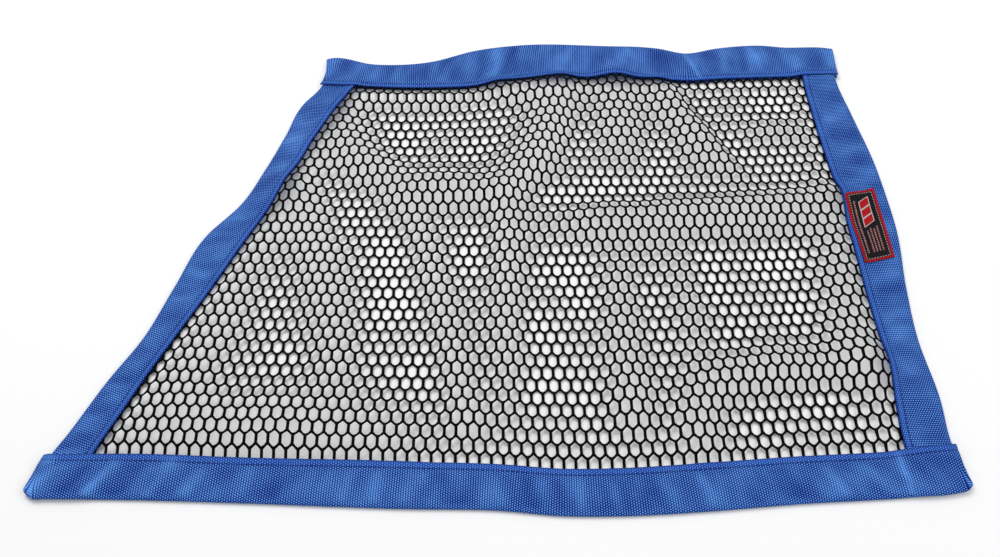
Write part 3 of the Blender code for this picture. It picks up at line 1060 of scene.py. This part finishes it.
# %% The four tapes
tapes = {
    # name: table, side, is it a sleeve, first and last station, seed, ripple height, its lean at both ends
    "left_edge_tape": Tape(LEFT_BINDING, -1, False, -SEAM_SHARE, 1 + SEAM_SHARE, 3.0, 0.5, (0.0, 0.0)),
    "right_edge_tape": Tape(RIGHT_BINDING, 1, False, -SEAM_SHARE, 1 + SEAM_SHARE, 5.0, 0.5, (0.0, 0.0)),
    "top_rod_sleeve": Tape(TOP_SLEEVE, 1, True, -1.06, 2.1, 7.0, 1.0, (0.4, -0.2)),
    "bottom_rod_sleeve": Tape(BOTTOM_SLEEVE, -1, True, -1.14, 2.06, 9.0, 1.2, (-0.55, 0.5)),
}
tape_pieces = {name: woven_piece(name, tape, blue) for name, tape in tapes.items()}
for name, tape in tapes.items():
    print("%s: %.0f mm of tape, %.0f mm wide" % (name, tape.u[-1], tape.width.mean()))

# %% [markdown]
# ## Seams
#
# Every tape is sewn with one row of stitches, five millimetres from its edges. Each stitch is a small
# bead of thread that presses into the tape. One sphere drawn out along the seam is enough for a stitch,
# and the whole seam is one piece. Underneath, the stitches lie nearly flush, because the net lies on them.

# %% Thread
STITCH_PITCH = 3.3
STITCH_LENGTH = 2.7
THREAD = 0.62
THREAD_PROUD = 0.12
UNDER_THREAD = 0.3
UNDER_THREAD_SUNK = 0.10
SEAM_PLACES = 600
thread = Finish("dark blue thread", Specular_IOR_Level=0.1)
thread_place = thread.add("ShaderNodeTexCoord", {}, {}, OBJECT_PLACE)
thread_shade = thread.clouds(thread_place, 500.0)
thread.set(Base_Color=thread.mix(thread_shade, (0.002, 0.010, 0.090, 1), (0.016, 0.050, 0.26, 1)))
thread.relief(thread_shade, 0.1 * MM)


def stitch(bm, start, end, up, thickness):
    """One bead of thread between two points."""
    ahead = end - start
    beside = ahead.cross(up).normalized()
    up = beside.cross(ahead).normalized()
    turn = Matrix((ahead / 2, beside * THREAD * MM / 2, up * thickness / 2)).transposed().to_4x4()
    turn.translation = (start + end) / 2
    turn = turn @ Matrix.Rotation(pi / 2, 4, "Y")
    bmesh.ops.create_uvsphere(bm, u_segments=6, v_segments=4, radius=1, matrix=turn)


def sew(name, tape, first, last):
    """Both sides of a seam: stitches along a tape between two of its stations."""
    bm = bmesh.new()
    stations = np.linspace(first, last, SEAM_PLACES)
    width = tape.width_at(stations)
    share = STITCH_LINE / width
    half = tape.gap(stations, share) + TAPE
    above = half + seam_relief(STITCH_LINE) + THREAD_PROUD
    below = UNDER_THREAD_SUNK - half
    for side, rise, thickness in ((1, above, THREAD), (-1, below, UNDER_THREAD)):
        row = place(*tape.shares(stations, share), rise)
        row[:, 2] = np.maximum(row[:, 2], thickness / 2 * MM)
        length = distance_along(row)
        for begin in np.arange(MM, length[-1] - STITCH_LENGTH * MM, STITCH_PITCH * MM):
            start, end = (Vector([np.interp(at, length, row[:, axis]) for axis in range(3)])
                          for at in (begin, begin + STITCH_LENGTH * MM))
            stitch(bm, start, end, Vector((0, 0, side)), thickness * MM)
    return add_object(name, finished_mesh(name, bm, thread))


seams = {
    # name: tape, first and last station
    "left_seam": ("left_edge_tape", 0.0, 1.0),
    "right_seam": ("right_edge_tape", 0.0, 1.0),
    "top_seam": ("top_rod_sleeve", -1.03, 2.07),
    "bottom_seam": ("bottom_rod_sleeve", -1.11, 2.03),
}
seam_pieces = {name: sew(name, tapes[tape], first, last) for name, (tape, first, last) in seams.items()}
print("thread: %d triangles" % sum(map(triangles, seam_pieces.values())))

# %% [markdown]
# ## Label
#
# A small woven label is sewn to the right edge tape. It has a black ground, a raised red border of close
# stitches and a pale row of stitches just inside it. The marks on it are plain slanted bars and fine
# lines, a pattern that says nothing. Two short tables place them, and both the relief of the mesh and
# the colours of the finish are worked out from these, so that they can't slip apart.

# %% Marks on the label
LABEL_SIZE = (28.5, 76.0)
BORDER = 2.3
BORDER_RISE = 0.35
MARK_RISE = 0.22
BARS = (
    # left, right, bottom, top, slant
    (11.0, 20.0, 58.0, 65.5, 0.45),
    (11.0, 20.0, 49.0, 56.5, 0.45),
    (11.0, 20.0, 40.0, 47.5, 0.45),
)
LINES = (
    # left, right, bottom, top, slant
    (5.6, 7.2, 9.0, 66.0, 0.0),
    (11.2, 12.5, 9.5, 33.0, 0.0),
    (14.2, 15.5, 9.5, 35.0, 0.0),
    (17.2, 18.5, 9.5, 34.0, 0.0),
    (20.2, 21.5, 9.5, 36.0, 0.0),
)


def inside_bar(w, h, bar):
    """How far a place on the label is inside a slanted bar, in millimetres."""
    left, right, bottom, top, slant = bar
    lean = slant * (w - (left + right) / 2)
    return np.minimum(np.minimum(w - left, right - w), np.minimum(h - lean - bottom, top - h + lean))


def label_relief(w, h):
    """Height of the stitching above the label's ground."""
    edge = np.minimum(np.minimum(w, LABEL_SIZE[0] - w), np.minimum(h, LABEL_SIZE[1] - h))
    border = np.sqrt(np.clip(1 - ((edge - BORDER / 2) / (BORDER / 2)) ** 2, 0, 1))
    marks = sum(soft_step(inside_bar(w, h, bar), -0.2, 0.5) for bar in BARS + LINES)
    return BORDER_RISE * border + MARK_RISE * marks


print("label: %d bars, %d lines" % (len(BARS), len(LINES)))

# %% [markdown]
# ## Where the label lies
#
# The label is a grid stretched between its four corners in the plan. It lies on the upper layer of the
# tape and bends with it, because a flat plate would cut into the tape's ripples.

# %% Shape of the label
LABEL_CORNERS = (
    # x and y of its corners: bottom left, bottom right, top left, top right
    (307.4, -21.7),
    (334.1, -15.0),
    (302.6, 49.8),
    (332.6, 62.5),
)
LABEL_STEP = 0.45
LABEL_THICKNESS = 0.8
LABEL_GAP = 0.35
right_tape = tapes["right_edge_tape"]
columns, rows = (int(size / LABEL_STEP) + 1 for size in LABEL_SIZE)
w, h = np.meshgrid(np.linspace(0, LABEL_SIZE[0], columns), np.linspace(0, LABEL_SIZE[1], rows))
share_w, share_h = w[..., None] / LABEL_SIZE[0], h[..., None] / LABEL_SIZE[1]
corners = np.array(LABEL_CORNERS)
low = corners[0] * (1 - share_w) + corners[1] * share_w
high = corners[2] * (1 - share_w) + corners[3] * share_w
x, y = np.moveaxis(low * (1 - share_h) + high * share_h, -1, 0)
tape_y = plan(1.0, right_tape.stations)[1]
out = x - through(RIGHT_BINDING, SEAM, y)
width = through(RIGHT_BINDING, FOLD_EDGE, y) - through(RIGHT_BINDING, SEAM, y)
tape_relief = right_tape.wave * right_tape.waves(np.interp(y, tape_y, right_tape.u), out, width)
z = middle_height(x, y) + BINDING_INSIDE + TAPE + tape_relief + LABEL_GAP + LABEL_THICKNESS
z += label_relief(w, h)
points = np.stack([x - CENTRE_X, y - CENTRE_Y, z], axis=-1) * MM
bm = laid_grid(points, {"flat cloth": np.stack([w, h], axis=-1) * MM})
print("label: %d x %d places" % (columns, rows))

# %% [markdown]
# ## Label finish
#
# Masks from the same tables choose between black ground, pale thread and red thread. Satin stitches lean
# across the border, and a plain weave lies under them. The red is painted lighter and darker in stripes along
# the satin stitches, a painted sheen, and unevenly by noise. A picture would be quicker, but it would have to
# be drawn first, and it would blur close up.

# %% Label finish
SATIN = 0.55 * MM
GROUND_YARN = 0.7 * MM
DASH = 2.6 * MM
LINE_BREAK = 1.9 * MM
INNER_STITCHES = 3.2
ROW_HALF = 0.3
OUTLINE = 0.7
SOFT = 0.12 * MM
badge = Finish("black label with red stitching", Specular_IOR_Level=0.08)
badge_w, badge_h = badge.uv("flat cloth")
badge_place = badge.add("ShaderNodeTexCoord", {}, {}, OBJECT_PLACE)
badge_noise = badge.clouds(badge_place, 1800.0, 2.0)


def within(value, low, high):
    """Mask between two limits, with soft edges."""
    return value.smooth(low - SOFT, low + SOFT) * (1 - value.smooth(high - SOFT, high + SOFT))


def threads(value, pitch):
    """Wave that repeats at a pitch."""
    return (value * (2 * pi / pitch)).wave()


def marks(bars, margin=0.0):
    """Mask of slanted bars, each made larger by a margin."""
    mask = None
    for *edges, slant in bars:
        left, right, bottom, top = (edge * MM for edge in edges)
        lean = (badge_w - (left + right) / 2) * slant
        across = within(badge_w, left - margin * MM, right + margin * MM)
        bar = across * within(badge_h - lean, bottom - margin * MM, top + margin * MM)
        mask = bar if mask is None else mask.at_least(bar)
    return mask


to_edge = badge_w.at_most(LABEL_SIZE[0] * MM - badge_w).at_most(badge_h).at_most(LABEL_SIZE[1] * MM - badge_h)
border = 1 - to_edge.smooth(BORDER * MM - SOFT, BORDER * MM + SOFT)
satin = threads(badge_w + badge_h, SATIN)
ground_weave = threads(badge_w, GROUND_YARN) * threads(badge_h, GROUND_YARN)
dash = threads(badge_w + badge_h, DASH).smooth(-0.1, 0.2)
pale_row = within(to_edge, (INNER_STITCHES - ROW_HALF) * MM, (INNER_STITCHES + ROW_HALF) * MM) * dash
outlines = marks(BARS, OUTLINE)
hearts = marks(BARS)
lines = marks(LINES) * (badge_noise + threads(badge_h, LINE_BREAK) * 0.3).smooth(0.3, 0.6)
# shade: a painted sheen in stripes along the satin stitches, with uneven tone from noise.
shade = (satin * 0.25 + badge_noise * 0.7 + 0.2).smooth(0.1, 1.0)
black = badge.mix(badge_noise, (0.003, 0.003, 0.004, 1), (0.014, 0.012, 0.013, 1))
red = badge.mix(shade, (0.14, 0.003, 0.005, 1), (0.60, 0.012, 0.016, 1))
pale = badge.mix(badge_noise, (0.30, 0.27, 0.28, 1), (0.66, 0.60, 0.60, 1))
colour = badge.mix(pale_row, black, pale)
colour = badge.mix(lines, colour, badge.mix(badge_noise.smooth(0.4, 0.6), pale, red))
colour = badge.mix(outlines, colour, pale)
colour = badge.mix(hearts, colour, red)
colour = badge.mix(border, colour, red)
badge.set(Base_Color=colour, Roughness=0.75 - shade * 0.25)
badge.relief(satin * border * 0.5 + ground_weave * 0.2 + pale_row * 0.8 + badge_noise * 0.3, 0.12 * MM)

label = add_object("sewn_label", finished_mesh("sewn_label", bm, badge))
thicken(label, LABEL_THICKNESS)
print("label: %.0f x %.0f mm, %d triangles" % (*LABEL_SIZE, triangles(label)))

# %% [markdown]
# ## What each piece stands for
#
# Every piece rides on the part's one body and has its material. The net, the tapes and the label take the
# places of plain solids. The stitches replace nothing.

# %% What each piece stands for
NODES = {
    "left_edge_tape": "left_binding",
    "right_edge_tape": "right_binding",
    "top_rod_sleeve": "top_sleeve",
    "bottom_rod_sleeve": "bottom_sleeve",
}
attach(net, "root")
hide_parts("net_panel")
for name, piece in tape_pieces.items():
    tape = tapes[name]
    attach(piece, "root")
    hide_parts(NODES[name])
for piece in seam_pieces.values():
    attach(piece, "root")
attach(label, "root")
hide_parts("label_patch")
